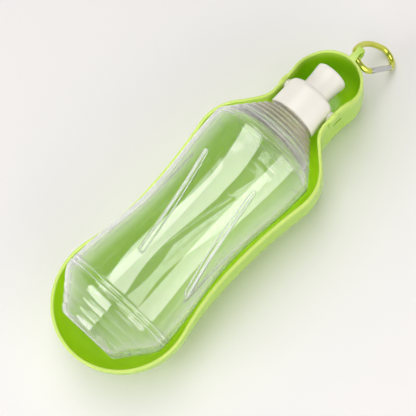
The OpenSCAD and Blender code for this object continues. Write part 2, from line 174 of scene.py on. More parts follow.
petSet = {
    "tint": (0.965, 0.970, 0.962, 1), "roughness": 0.012, "ior": 1.575,
    # painted sheen: a pale veil mixed in at grazing angles stands in for reflections on the
    # clear walls
    "paintedLightWhite": (0.93, 0.95, 0.92, 1), "edgeSheenPaint": 0.58, "edgePower": 2.6,
    "neck": (0.80, 0.70, 0.46, 1), "neckPaintedReflection": 0.10,  # painted reflection: a warm tan under the cap stands in for the cap's skirt and its shade seen in the neck
    "paintedHighlightLevel": 0.55,                   # painted highlight: white lines along the groove walls and ring crests
    "gleam": (1.0, 0.88, 1.0, 1), "shine": 0.95, "coat": 0.7, "coatRough": 0.02,
    "shadow": (0.880, 0.890, 0.875, 1),  # what one face of the wall lets through
}


def clearPet(values):
    p = Paint("clearPet")
    ripple = p.noise(30, 2, (0.5, 1, 1))
    fine = p.noise(240, 2)
    rough = fine * 0.02 + values["roughness"]
    height = ripple + fine * 0.03
    # painted reflection: a warm tint near the cap, for the cap's skirt and its shade seen in
    # the neck
    neck = p.trait("neckReflectionZone")
    glass = p.surface(Base_Color=values["tint"], Roughness=rough, IOR=values["ior"],
                      Transmission_Weight=1.0, Specular_Tint=values["gleam"],
                      Specular_IOR_Level=values["shine"], Coat_Weight=values["coat"],
                      Coat_Roughness=values["coatRough"],
                      Normal=p.bump(height, 0.2, 0.0008))
    # painted sheen: a pale diffuse layer, also used for the painted reflection under the cap
    # and the painted highlights
    paintedLightLayer = p.surface(Base_Color=p.mix(neck, values["paintedLightWhite"], values["neck"]),
                     Roughness=0.25, Subsurface_Weight=0.5, Subsurface_Scale=0.003,
                     Subsurface_Radius=(1.0, 1.0, 1.0))
    # painted sheen, stronger towards grazing angles
    edge = p.add("LayerWeight", {}, {"Blend": 0.5}, "Facing")
    paintedLightMask = edge ** values["edgePower"] * values["edgeSheenPaint"] * (1 - neck)
    paintedLightMask = paintedLightMask + neck * values["neckPaintedReflection"]
    # painted highlight: white lines where the mask marks groove walls and ring crests
    wearAndHighlight = p.trait("scuffAndHighlight") * values["paintedHighlightLevel"]
    paintedLightMask = paintedLightMask * (1 - wearAndHighlight) + wearAndHighlight
    glass = p.add("MixShader", {}, [paintedLightMask, glass, paintedLightLayer])
    through = p.add("BsdfTransparent", {}, {"Color": values["shadow"]})
    shadow = p.add("LightPath", out="Is Shadow Ray")
    return p.close(p.add("MixShader", {}, [shadow, glass, through]))


capSet = {"colour": (0.890, 0.850, 0.780, 1), "shade": (0.860, 0.815, 0.735, 1)}


def capPlastic(values):
    p = Paint("capPlastic")
    cloud = p.noise(60, 3)
    grain = p.noise(1400, 2)
    return p.close(p.surface(Base_Color=p.mix(cloud, values["colour"], values["shade"]),
                             Roughness=grain * 0.1 + 0.3, IOR=1.48,
                             Subsurface_Weight=0.25, Subsurface_Radius=(1.0, 0.9, 0.7),
                             Subsurface_Scale=0.0015,
                             Normal=p.bump(grain, 0.05, 0.0002)))


def softSeal():
    p = Paint("softSeal")
    grain = p.noise(1100, 3)
    return p.close(p.surface(Base_Color=p.mix(grain, (0.80, 0.80, 0.77, 1),
                                              (0.70, 0.70, 0.67, 1)),
                             Roughness=grain * 0.2 + 0.5,
                             Normal=p.bump(grain, 0.1, 0.0002)))


clipSet = {"colour": (0.560, 0.620, 0.030, 1), "wearAndHighlight": (0.700, 0.720, 0.180, 1)}


def anodised(values):
    p = Paint("anodised")
    drawn = p.noise(700, 3, (1, 1, 0.12))
    cloud = p.noise(90, 3)
    return p.close(p.surface(Base_Color=p.mix(cloud, values["colour"], values["wearAndHighlight"]),
                             Metallic=1.0, Roughness=drawn * 0.16 + 0.16,
                             Normal=p.bump(drawn, 0.08, 0.0002)))


def brightMetal(name, colour, roughness):
    p = Paint(name)
    drawn = p.noise(900, 3, (0.15, 1, 1))
    return p.close(p.surface(Base_Color=p.mix(drawn, colour,
                                              tuple(c * 0.82 for c in colour[:3]) + (1,)),
                             Metallic=1.0, Roughness=drawn * 0.2 + roughness,
                             Normal=p.bump(drawn, 0.06, 0.0002)))


lime = limePlastic(limeSet)
pet = clearPet(petSet)
white = capPlastic(capSet)
seal = softSeal()
clip = anodised(clipSet)
silver = brightMetal("gateMetal", (0.62, 0.63, 0.64, 1), 0.2)
steel = brightMetal("pinMetal", (0.55, 0.55, 0.54, 1), 0.25)
print("materials made")


def finishPiece(bm, name, material, body, sharp=40):
    bmesh.ops.remove_doubles(bm, verts=bm.verts, dist=1e-6)
    bmesh.ops.recalc_face_normals(bm, faces=bm.faces)
    mesh = bpy.data.meshes.new(name)
    bm.to_mesh(mesh)
    bm.free()
    mesh.shade_smooth()
    mesh.set_sharp_from_angle(angle=math.radians(sharp))
    mesh.materials.append(material)
    piece = bpy.data.objects.new(name, mesh)
    scene.collection.objects.link(piece)
    if body:
        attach(piece, body)
    return piece


def spinRound(stations, steps, closed=False, centre=(0, 0, 0), axis="X"):
    bm = bmesh.new()
    place = {"X": lambda a, r: (a, 0, r), "Y": lambda a, r: (0, a, r)}[axis]
    shift = Vector(centre)
    verts = [bm.verts.new((Vector(place(a, r)) + shift) * mm) for a, r in stations]
    edges = [bm.edges.new(pair) for pair in zip(verts, verts[1:])]
    if closed:
        edges.append(bm.edges.new((verts[-1], verts[0])))
    bmesh.ops.spin(bm, geom=verts + edges, cent=shift * mm, steps=steps, use_merge=True,
                   axis=Vector([float(axis == c) for c in "XYZ"]), angle=math.tau)
    bmesh.ops.remove_doubles(bm, verts=bm.verts, dist=1e-7)
    return bm


def combine(piece, other, operation):  # a boolean, applied, with the other piece used up
    change = piece.modifiers.new("change", "BOOLEAN")
    change.operation, change.object, change.solver = operation, other, "EXACT"
    bpy.context.view_layer.update()
    view = piece.evaluated_get(bpy.context.evaluated_depsgraph_get())
    mesh = bpy.data.meshes.new_from_object(view)
    piece.modifiers.clear()
    piece.data = mesh
    bpy.data.objects.remove(other)


def tool(bm):
    bmesh.ops.recalc_face_normals(bm, faces=bm.faces)
    mesh = bpy.data.meshes.new("tool")
    bm.to_mesh(mesh)
    bm.free()
    other = bpy.data.objects.new("tool", mesh)
    scene.collection.objects.link(other)
    return other


trough = {
    "foot": (-79, 43),          # x of the centre, radius
    "waist": (-27, 36.4),       # x, half width
    "belly": (37, 42.3, 30),    # x, half width, corner radius
    "neckHalf": 20, "neckFillet": 12,
    "head": (101, 21.5),
    "rim": 38.2, "wall": 2.0, "edge": 0.85,
    "turns": (34, 24, 18),      # radius from floor to wall at foot, body, neck
    "hinge": (84, 39.8), "earRise": 6.2, "earLen": 12, "earSlope": 21,
    "bore": 3.06, "pad": (5.2, 0.6),
    "lugWidth": 5, "lugHole": 3.4, "lugWall": 1.4, "lugRoot": 0.8, "lugDrop": 15,
    "lugLand": 0.8, "lugY": -1.2, "boreDepth": 20.0,
    "slot": (7.0, 3.4, 1.9), "slotPlace": (2.5, -7.4),  # x and z from the hinge
    "neckX": 71.7,              # from here on the turn is the neck's
    "lugRound": 0.5, "slotRound": 0.45,
    # painted light: where the rim's painted glow sits below the rim
    "glowFrom": 2.0, "glowOver": 1.6,  # below the rim
    # painted light: the outer wall's painted paleness grows up to this height
    "paintedLightOver": 26,             # up the outer wall
}


def rampUp(u):
    return (1 - math.cos(math.pi * min(1, max(0, u)))) / 2


def rimHeight(x):
    t = trough
    reach = t["earLen"] / 2 + t["earSlope"] - abs(x - t["hinge"][0])
    return t["rim"] + t["earRise"] * rampUp(reach / t["earSlope"])


def rimLine():
    t = trough
    footX, footR = t["foot"]
    waistX, waistHalf = t["waist"]
    bellyX, bellyHalf, bellyR = t["belly"]
    neckHalf, fillet = t["neckHalf"], t["neckFillet"]
    headX, headR = t["head"]
    dx = waistX - footX
    hollowL = (dx * dx + waistHalf ** 2 - footR ** 2) / (2 * (footR - waistHalf))
    cy = bellyHalf - bellyR
    dx2, k = bellyX - waistX, waistHalf - cy
    hollowR = (dx2 * dx2 + k * k - bellyR ** 2) / (2 * (bellyR - k))
    turnL = math.degrees(math.atan2(dx, waistHalf + hollowL))
    turnR = math.degrees(math.atan2(dx2, waistHalf + hollowR - cy))
    slopeX = bellyX + bellyR * math.sqrt(0.5)
    slopeY = cy + bellyR * math.sqrt(0.5)
    filletX = slopeX + slopeY - neckHalf + fillet * (math.sqrt(2) - 1)
    slopeLen = (slopeY - neckHalf) * math.sqrt(2) - fillet * (math.sqrt(2) - 1)
    dx3 = headX - t["hinge"][0]
    hollowN = (dx3 * dx3 + neckHalf ** 2 - headR ** 2) / (2 * (headR - neckHalf))
    turnN = math.degrees(math.atan2(dx3, neckHalf + hollowN))

    def sweep(c, r, a0, a1, n, flip=0):
        return [(c[0] + r * math.cos(math.radians(a0 + (a1 - a0) * i / n)),
                 c[1] + r * math.sin(math.radians(a0 + (a1 - a0) * i / n)),
                 a0 + (a1 - a0) * i / n + flip) for i in range(n)]

    half = sweep((footX, 0), footR, 180, 90 - turnL, 40)
    half += sweep((waistX, waistHalf + hollowL), hollowL, -90 - turnL, -90, 16, 180)
    half += sweep((waistX, waistHalf + hollowR), hollowR, -90, -90 + turnR, 20, 180)
    half += sweep((bellyX, cy), bellyR, 90 + turnR, 45, 22)
    half += [(slopeX + slopeLen * math.sqrt(0.5) * i / 8,
              slopeY - slopeLen * math.sqrt(0.5) * i / 8, 45) for i in range(8)]
    half += sweep((filletX, neckHalf + fillet), fillet, -135, -90, 12, 180)
    half += [(filletX + (t["hinge"][0] - filletX) * i / 5, neckHalf, 90) for i in range(5)]
    half += sweep((t["hinge"][0], neckHalf + hollowN), hollowN, -90, -90 + turnN, 12, 180)
    half += sweep((headX, 0), headR, 90 + turnN, 0, 34)
    back = [(x, -y, -a) for x, y, a in reversed(half[1:])]
    return half + [(headX + headR, 0, 0)] + back


def wallTurn(x):
    t = trough
    foot, body, neck = t["turns"]
    neckX = t["neckX"]
    return (body + (foot - body) * rampUp((t["waist"][0] - x) / (t["waist"][0] - t["foot"][0]))
            - (body - neck) * rampUp((x - t["belly"][0]) / (neckX - t["belly"][0])))


def makeTrough():
    t = trough
    line = rimLine()
    wall, edge = t["wall"], t["edge"]

    # inward distance and height, from the outer floor over the rim to the inner floor
    def section(x):
        r, top = wallTurn(x), rimHeight(x)
        outside = [(r - r * math.cos(math.radians(a)), r - r * math.sin(math.radians(a)))
                   for a in range(90, -1, -9)]
        step = [(0, r + (top - edge - r) * i / 3) for i in (1, 2)]
        over = [(edge - edge * math.cos(math.radians(a)), top - edge + edge
                 * math.sin(math.radians(a))) for a in (0, 22, 45, 67, 90)]
        over += [(wall - edge + edge * math.sin(math.radians(a)), top - edge + edge
                  * math.cos(math.radians(a))) for a in (0, 23, 45, 68, 90)]
        down = [(wall, r + (top - edge - r) * i / 3) for i in (2, 1)]
        inside = [(r - (r - wall) * math.cos(math.radians(a)),
                   r - (r - wall) * math.sin(math.radians(a))) for a in range(0, 91, 9)]
        return outside + step + over + down + inside

    def place(point, n, z):
        x, y, a = point
        return Vector((x - n * math.cos(math.radians(a)), y - n * math.sin(math.radians(a)),
                       z)) * mm

    bm = bmesh.new()
    sections = [section(p[0]) for p in line]
    loop = [bm.verts.new(place(p, *s[0])) for p, s in zip(line, sections)]
    edges = [bm.edges.new((loop[i], loop[(i + 1) % len(loop)])) for i in range(len(loop))]
    bm.faces.new(loop)
    for k in range(1, len(sections[0])):
        grown = bmesh.ops.extrude_edge_only(bm, edges=edges)["geom"]
        verts = [g for g in grown if isinstance(g, bmesh.types.BMVert)]
        for v in verts:
            near = min(range(len(line)), key=lambda i: (
                v.co - place(line[i], *sections[i][k - 1])).length_squared)
            v.co = place(line[near], *sections[near][k])
        edges = [g for g in grown if isinstance(g, bmesh.types.BMEdge)
                 and g.verts[0] in verts and g.verts[1] in verts]
    bmesh.ops.contextual_create(bm, geom=edges)
    shell = finishPiece(bm, "troughShell", lime, None)

    hx, hz = t["hinge"]
    padR, padH = t["pad"]
    for side in (-1, 1):  # pads round the hinge bores
        top = t["neckHalf"] + padH
        pad = spinRound([(side * (t["neckHalf"] - 1), 0), (side * (t["neckHalf"] - 1), padR),
                         (side * (top - 0.4), padR)]
                        + [(side * (top - 0.4 + 0.4 * math.sin(a)), padR - 0.4 + 0.4
                            * math.cos(a)) for a in (0.4, 0.8, 1.2, 1.571)]
                        + [(side * top, 0)], 64, False, (hx, 0, hz), "Y")
        combine(shell, tool(pad), "UNION")

    lugR = t["lugHole"] + t["lugWall"]
    headEnd = t["head"][0] + t["head"][1]
    lugX, lugZ = headEnd + t["lugRoot"] + t["lugHole"], t["rim"] - lugR
    bm = bmesh.new()
    outline = [(headEnd - 1, t["rim"] - t["lugDrop"])]
    outline += [(lugX + lugR * math.cos(math.radians(a)), lugZ + lugR
                 * math.sin(math.radians(a))) for a in range(-80, 1, 10)]
    outline += [(lugX + lugR, t["rim"]), (headEnd - 1, t["rim"])]
    verts = [bm.verts.new(Vector((x, t["lugY"] - t["lugWidth"] / 2, z)) * mm)
             for x, z in outline]
    face = bm.faces.new(verts)
    side = bmesh.ops.extrude_face_region(bm, geom=[face])["geom"]
    moved = [g for g in side if isinstance(g, bmesh.types.BMVert)]
    bmesh.ops.translate(bm, verts=moved, vec=(0, t["lugWidth"] * mm, 0))
    bmesh.ops.recalc_face_normals(bm, faces=bm.faces)
    crisp = [e for e in bm.edges if len(e.link_faces) == 2
             and e.calc_face_angle(0) > math.radians(40)]
    bmesh.ops.bevel(bm, geom=crisp, offset=t["lugRound"] * mm, offset_type="OFFSET", segments=3,
                    profile=0.5, affect="EDGES", material=-1)
    combine(shell, tool(bm), "UNION")

    half, land, wide = t["lugWidth"] / 2, t["lugLand"] / 2, t["lugHole"]
    mouth = half + 0.6
    hole = spinRound([(-mouth, 0), (-mouth, wide + mouth - land), (-land, wide),
                      (land, wide), (mouth, wide + mouth - land), (mouth, 0)],
                     64, False, (lugX, t["lugY"], lugZ), "Y")
    combine(shell, tool(hole), "DIFFERENCE")
    deep = t["boreDepth"]
    bore = spinRound([(-deep, 0), (-deep, t["bore"]), (deep, t["bore"]), (deep, 0)], 64,
                     False, (hx, 0, hz), "Y")
    combine(shell, tool(bore), "DIFFERENCE")
    for side in (-1, 1):  # moulding slot under each pad
        slotX, slotZ = t["slotPlace"]
        bm = bmesh.new()
        bmesh.ops.create_cube(bm, size=1)
        bmesh.ops.scale(bm, vec=Vector(t["slot"]) * mm, verts=bm.verts)
        bmesh.ops.bevel(bm, geom=[e for e in bm.edges if abs(e.verts[0].co.y
                        - e.verts[1].co.y) > 0.5 * mm], offset=t["slotRound"] * mm,
                        segments=4, profile=0.5, affect="EDGES", material=-1)
        bmesh.ops.translate(bm, verts=bm.verts, vec=Vector((hx + slotX, side
                            * t["neckHalf"], hz + slotZ)) * mm)
        combine(shell, tool(bm), "DIFFERENCE")

    mesh = shell.data  # painted light: the rim is painted pale as a glow of light in thin plastic, and the outer wall is painted paler up its height
    glow = mesh.attributes.new("rimPaintedGlow", "FLOAT", "POINT")
    outer = mesh.attributes.new("outside", "FLOAT", "POINT")
    for i, v in enumerate(mesh.vertices):
        x, y, z = v.co / mm
        p = min(((x - p[0]) ** 2 + (y - p[1]) ** 2, p) for p in line)[1]
        a = math.radians(p[2])
        n = -((x - p[0]) * math.cos(a) + (y - p[1]) * math.sin(a))
        drop = rimHeight(x) - z
        glow.data[i].value = min(1, max(0, (t["glowFrom"] - drop) / t["glowOver"]))
        # painted light: outer-wall points get a paler colour that grows with height
        if n < 0.9 * wall * 0.5 + max(0, (wallTurn(x) - z) * 0.2):
            outer.data[i].value = min(1, max(0.0, z / t["paintedLightOver"]))
        # painted light: the lug is painted fully pale, with a weaker painted glow
        if x > headEnd - 0.3:
            glow.data[i].value *= 0.4
            outer.data[i].value = 1
    mesh.shade_smooth()
    mesh.set_sharp_from_angle(angle=math.radians(35))
    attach(shell, "trough")
    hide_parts("trough")


makeTrough()
print("trough made")

bottle = {
    "axis": 39.8, "wall": 0.9, "ring": 37.5, "grip": 32.2, "shoulder": 36.2,
    "base": (-107.9, 19.2), "dome": 5, "neck": 12.6, "neckBore": 10.8, "ledge": 16.4,
    "ledgeX": 68.2, "lipX": 82.6, "ringX": -81, "ringH": 0.5, "gripX": -20,
    "shoulderX": 39.5, "shoulderBend": 9, "shoulderEnd": 40,
    "bands": ((-107.0, 20.8), (-102.8, 23.9), (-98.3, 27.5),
              (-93.5, 31.5), (-88.0, 35.7)),     # creases between the base's bands
    "coneRings": (51.0, 54.8, 58.2, 61.2, 64.0),
    "grooves": (12.0, -52.8, -126, 162, 88),     # degrees from the top, at gripX
    "grooveEnds": (-55.0, 15.4), "grooveTwist": 0.358, "grooveWide": (4.8, 3.4),
    "grooveDeep": 1.3,
    "bandSwell": (0.34, 0.30),                   # four bands, the one next to the rings
    # painted highlight: how white the ring crests are painted
    "shoulderRing": (13, 0.32),                  # degrees round the bend, height
    "ringHighlight": (0.8, 0.4),                           # on the two rings, on the cone's rings
    "neckFrom": 53, "neckOver": 6,               # where the painted reflection of the cap begins
    "threadStart": 3.2, "threadPitch": 3.2, "threadTurns": 2.4,
}


def bottleSide(x):
    b = bottle
    ringX, bodyR = b["ringX"], b["ring"] - b["ringH"]
    if x < b["gripX"]:
        return b["grip"] + (bodyR - b["grip"]) * rampUp((b["gripX"] - x)
                                                        / (b["gripX"] - ringX))
    return b["grip"] + (b["shoulder"] - b["grip"]) * rampUp(
        (x - b["gripX"]) / (b["shoulderX"] - b["gripX"]))


def makeBottle():
    b = bottle
    baseX, baseR = b["base"]
    bodyR = b["ring"] - b["ringH"]
    ringX = b["ringX"]
    bend0, end = b["shoulderBend"], b["shoulderEnd"]

    def shoulder(a, h=0):
        return (b["shoulderX"] + (bend0 + h) * math.sin(math.radians(a)),
                b["shoulder"] - bend0 + (bend0 + h) * math.cos(math.radians(a)))

    def bump(at, width=1.5):
        return [(at - width / 2, bodyR), (at - width / 4, bodyR + b["ringH"] * 0.8),
                (at, bodyR + b["ringH"]), (at + width / 4, bodyR + b["ringH"] * 0.8),
                (at + width / 2, bodyR)]

    base = [(baseX, baseR - 1.2), (baseX + 0.08, baseR - 0.3), (baseX + 0.3, baseR + 0.6)]
    bands = b["bands"]
    for (xa, ra), (xb, rb) in zip(bands, bands[1:] + ((ringX - 3.6, bodyR),)):
        swell = b["bandSwell"][0] if xb < ringX - 5 else b["bandSwell"][1]
        nx, nr = ra - rb, xb - xa
        size = math.hypot(nx, nr)
        for i in range(7):
            u = i / 7
            h = swell * 4 * u * (1 - u)
            base.append((xa + (xb - xa) * u + nx / size * h,
                         ra + (rb - ra) * u + nr / size * h))
    dome = [(baseX + b["dome"] * (1 - (i / 12) ** 2), (baseR - 2.2) * i / 12)
            for i in range(13)]
    low, high = b["grooveEnds"]
    places = [ringX + 3.4 + 2.3 * i for i in range(int((b["shoulderX"] - ringX - 3.4) / 2.3))]
    places = [x for x in places if abs(x - low) > 4.2 and abs(x - high) > 3.4]
    places += [low - 3.9 + 0.6 * i for i in range(14)] + [high - 3.1 + 0.6 * i
                                                         for i in range(11)]
    side = [(x, bottleSide(x)) for x in sorted(places)]
    outer = dome + base + bump(ringX - 1.5) + bump(ringX + 1.5) + side
    ringAt, ringRise = b["shoulderRing"]
    outer += [shoulder(a, ringRise * max(0, 1 - abs(a - ringAt) / 5))
              for a in range(0, end, 2)]
    coneX, coneR = shoulder(end)
    neckBase = b["ledgeX"] - 1.8
    slope = (b["ledge"] + 0.5 - coneR) / (neckBase - coneX)
    for at in b["coneRings"]:
        for off, h in ((-0.8, 0), (-0.45, 0.3), (0, 0.42), (0.45, 0.3), (0.8, 0)):
            outer.append((at + off + h * 0.65, coneR + slope * (at + off - coneX) + h * 0.76))
    outer += [(neckBase, b["ledge"]), (b["ledgeX"] - 0.3, b["ledge"]),
              (b["ledgeX"], b["ledge"] - 0.3), (b["ledgeX"], b["neck"] + 0.3),
              (b["ledgeX"] + 0.4, b["neck"]), (b["lipX"] - 0.4, b["neck"]),
              (b["lipX"], b["neck"] - 0.4), (b["lipX"], b["neckBore"] + 0.4),
              (b["lipX"] - 0.4, b["neckBore"])]
    w = b["wall"]
    inner = [(neckBase + 1.0, b["neckBore"]), (neckBase + 0.2, b["neckBore"] + 0.5),
             (neckBase - 0.4, b["neckBore"] + 1.9), (neckBase - 0.9, b["ledge"] - 1.1)]
    inner += [shoulder(a, -w) for a in range(end, 0, -4)]
    inner += [(x, r - w) for x, r in reversed(side)]
    inner += [(ringX, bodyR - w)]
    inner += [(max(x, baseX) + w * 0.7, r - w * 0.75) for x, r in reversed(base[::2])]
    inner += [(x + w, r) for x, r in reversed(dome)]

    centres = sorted(c % 360 for c in b["grooves"])
    marks = []  # angles of the mesh lines, close together along each groove
    for at, after in zip(centres, centres[1:] + [centres[0] + 360]):
        gap = after - at - 14
        count = round(gap / 2)
        marks += [at - 7 + 14 * i / 24 for i in range(24)]
        marks += [at + 7 + gap * i / count for i in range(count)]
    bm = spinRound(outer + inner, len(marks), False, (0, 0, b["axis"]), "X")

    axis = b["axis"]
    # painted highlight mask on the bottle's points
    scuffAndHighlight = bm.verts.layers.float.new("scuffAndHighlight")
    ridges = [(ringX - 1.5, b["ringHighlight"][0]), (ringX + 1.5, b["ringHighlight"][0])]
    ridges += [(at + 0.27, b["ringHighlight"][1]) for at in b["coneRings"]]
    for v in bm.verts:  # press the slanting grooves into the grip, and mark painted highlights along the groove walls on the upper side and along the ring crests
        x, y, z = v.co / mm
        r = math.hypot(y, z - axis)
        if r < 0.01:
            continue
        step = round(math.degrees(math.atan2(y, z - axis)) * len(marks) / 360) % len(marks)
        mark = marks[step]
        phi = math.radians(mark + b["grooveTwist"] * (min(30, max(-70, x)) - b["gripX"]))
        if r > 25 and low - 4 < x < high + 4:
            off = min(abs((mark - c + 180) % 360 - 180) for c in centres)
            over = max(0, x - high + 1.7, low + 2.4 - x)
            part = (x - low) / (high - low)
            half = (b["grooveWide"][0] * (1 - part) + b["grooveWide"][1] * part) / 2
            depth = half - math.hypot(math.radians(off) * r, over)
            press = rampUp(depth / 1.2)
            # painted highlight on the groove walls, fading out below the axis
            v[scuffAndHighlight] = 4 * press * (1 - press) * rampUp((z - axis) / 12)
            r -= b["grooveDeep"] * press
        elif r > b["ledge"] + 1:
            # painted highlight along the ring crests
            v[scuffAndHighlight] = max([ringHighlight for at, ringHighlight in ridges if abs(x - at) < 0.2], default=0)
        v.co = Vector((x, r * math.sin(phi), axis + r * math.cos(phi))) * mm
    piece = finishPiece(bm, "bottleBody", pet, "bottle", 50)
    # painted reflection mask: rises towards the cap
    zone = piece.data.attributes.new("neckReflectionZone", "FLOAT", "POINT")
    for i, v in enumerate(piece.data.vertices):
        zone.data[i].value = rampUp((v.co.x / mm - b["neckFrom"]) / b["neckOver"])
    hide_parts("bottle")


def makeThread():
    b = bottle
    bm = bmesh.new()
    start = b["ledgeX"] + b["threadStart"]
    shape = [(-0.9, 0), (-0.45, 1.0), (0.45, 1.0), (0.9, 0)]
    verts = [bm.verts.new(Vector((start + a, 0, b["axis"] + b["neck"] - 0.05 + r)) * mm)
             for a, r in shape]
    face = bm.faces.new(verts)
    turns, steps = b["threadTurns"], 150
    bmesh.ops.spin(bm, geom=[face], cent=Vector((start, 0, b["axis"])) * mm, axis=(1, 0, 0),
                   angle=math.tau * turns, steps=steps,
                   dvec=Vector((b["threadPitch"] * turns / steps, 0, 0)) * mm)
    finishPiece(bm, "neckThread", pet, "bottle", 50)


makeBottle()
makeThread()
print("bottle made")

cap = {
    "axis": 39.8, "x": 68.5, "len": 20.2, "r": 16.3, "round": 3.5, "wall": 2.2,
    "top": 4.5, "tube": 8.2, "tubeWall": 1.6, "post": 2.6, "trunnion": 3.0,
    "boss": 3.3, "bossEnd": 17.6, "pinStart": 14.1, "pinEnd": 19.8, "hingeX": 84,
}
spout = {"x": 89.0, "len": 17.0, "r": 9.65, "round": 1.5, "lip": 0.75, "lipWide": 1.6,
         "top": 2.4, "bead": 0.5, "fit": 0.08, "rib": 6.62}


def makeCap():
    c = cap
    x0, x1 = c["x"], c["x"] + c["len"]
    inX = x1 - c["top"]
    tubeEnd = spout["x"] + spout["len"] - spout["top"] - 0.3
    bore, tubeIn = c["r"] - c["wall"], c["tube"] - c["tubeWall"]
    outer = [(inX, bore), (x0, bore), (x0, c["r"] - 0.6)]
    outer += [(x0 + 0.6 - 0.6 * math.cos(a), c["r"] - 0.6 + 0.6 * math.sin(a))
              for a in (0.5, 1.0, 1.57)]
    outer += [(x1 - c["round"] - 6, c["r"]), (x1 - c["round"], c["r"])]
    outer += [(x1 - c["round"] + c["round"] * math.sin(math.radians(a)),
               c["r"] - c["round"] + c["round"] * math.cos(math.radians(a)))
              for a in range(9, 91, 9)]
    outer += [(x1, c["tube"] + 0.6), (x1 + 0.2, c["tube"] + 0.15), (x1 + 0.6, c["tube"]),
              (tubeEnd - 1.2, c["tube"]), (tubeEnd - 1.2, c["tube"] + 0.5),
              (tubeEnd - 0.3, c["tube"] + 0.5), (tubeEnd, c["tube"] + 0.2),
              (tubeEnd, tubeIn), (inX, tubeIn)]
    bm = spinRound(outer, 128, True, (0, 0, c["axis"]), "X")
    body = finishPiece(bm, "capBody", white, None, 35)
    for side in (-1, 1):
        shape = [(c["pinStart"], 0), (c["pinStart"], c["boss"]),
                 (c["bossEnd"] - 0.3, c["boss"]), (c["bossEnd"], c["boss"] - 0.3),
                 (c["bossEnd"], c["trunnion"]), (c["pinEnd"] - 0.5, c["trunnion"]),
                 (c["pinEnd"], c["trunnion"] - 0.5), (c["pinEnd"], 0)]
        pin = spinRound([(side * y, r) for y, r in shape], 48, False,
                        (c["hingeX"], 0, c["axis"]), "Y")
        combine(body, tool(pin), "UNION")
    postEnd = spout["x"] + spout["len"] - 0.2
    post = spinRound([(inX, 0), (inX, c["post"]), (postEnd - 0.5, c["post"]),
                      (postEnd, c["post"] - 0.5), (postEnd, 0)], 48, False,
                     (0, 0, c["axis"]), "X")
    combine(body, tool(post), "UNION")
    for turn in (0, 120, 240):  # spider arms that carry the post
        bm = bmesh.new()
        bmesh.ops.create_cube(bm, size=1)
        bmesh.ops.scale(bm, vec=Vector((c["top"] - 0.2, 1.6, tubeIn - c["post"] + 1.2)) * mm,
                        verts=bm.verts)
        bmesh.ops.translate(bm, verts=bm.verts, vec=Vector((inX + c["top"] / 2, 0,
                            (tubeIn + c["post"]) / 2)) * mm)
        bmesh.ops.rotate(bm, verts=bm.verts, cent=(0, 0, 0),
                         matrix=Matrix.Rotation(math.radians(turn + 90), 3, "X"))
        bmesh.ops.translate(bm, verts=bm.verts, vec=(0, 0, c["axis"] * mm))
        combine(body, tool(bm), "UNION")
    body.data.shade_smooth()
    body.data.set_sharp_from_angle(angle=math.radians(35))
    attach(body, "cap")
    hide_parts("cap")


def makeSpout():
    s, c = spout, cap
    x0, x1 = s["x"], s["x"] + s["len"]
    lipR = s["r"] + s["lip"]
    outer = [(x0, c["tube"] + s["fit"]), (x0, s["r"] - 0.5)]
    outer += [(x0 + 0.5 - 0.5 * math.cos(a), s["r"] - 0.5 + 0.5 * math.sin(a))
              for a in (0.5, 1.0, 1.57)]
    lipX = x1 - s["round"] - s["lipWide"]
    outer += [(x0 + (lipX - x0) * u, s["r"] + (lipR - s["r"]) * u ** 2.2)
              for u in (0.15, 0.3, 0.45, 0.6, 0.75, 0.87, 0.95)]
    outer += [(lipX + 0.4, lipR), (x1 - s["round"], lipR)]
    outer += [(x1 - s["round"] + s["round"] * math.sin(math.radians(a)),
               lipR - s["round"] + s["round"] * math.cos(math.radians(a)))
              for a in range(9, 91, 9)]
    outer += [(x1, 3.6), (x1 - 0.3, 3.0), (x1 - 0.8, c["post"] + s["fit"]),
              (x1 - s["top"], c["post"] + s["fit"]),
              (x1 - s["top"], c["tube"] + s["bead"] + s["fit"]),
              (x0 + s["rib"], c["tube"] + s["bead"] + s["fit"]),
              (x0 + s["rib"], c["tube"] + s["fit"])]
    bm = spinRound(outer, 128, True, (0, 0, c["axis"]), "X")
    piece = finishPiece(bm, "spoutBody", white, "spout", 35)
    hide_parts("spout")


makeCap()
makeSpout()
print("cap and spout made")

ring = {
    "len": 40.4, "wide": 18.3, "near": 8.1, "far": 7.4, "rod": 1.9, "hang": 153,
    "turn": (17.7, 49.4, -7.6), "lug": (126.7, 0.1, 33.4), "gate": 1.8, "tongue": 1.1,
}


def ringFrame():
    r = ring
    roll, pitch, yaw = (math.radians(a) for a in r["turn"])
    turn = (Matrix.Rotation(yaw, 4, "Z") @ Matrix.Rotation(pitch, 4, "Y")
            @ Matrix.Rotation(roll, 4, "X"))
    hang = math.radians(r["hang"])
    shift = Vector((-r["near"] * (1 + math.cos(hang)), -r["near"] * (1 + math.sin(hang)), 0))
    return (Matrix.Translation(Vector(r["lug"]) * mm) @ turn
            @ Matrix.Translation(shift * mm))


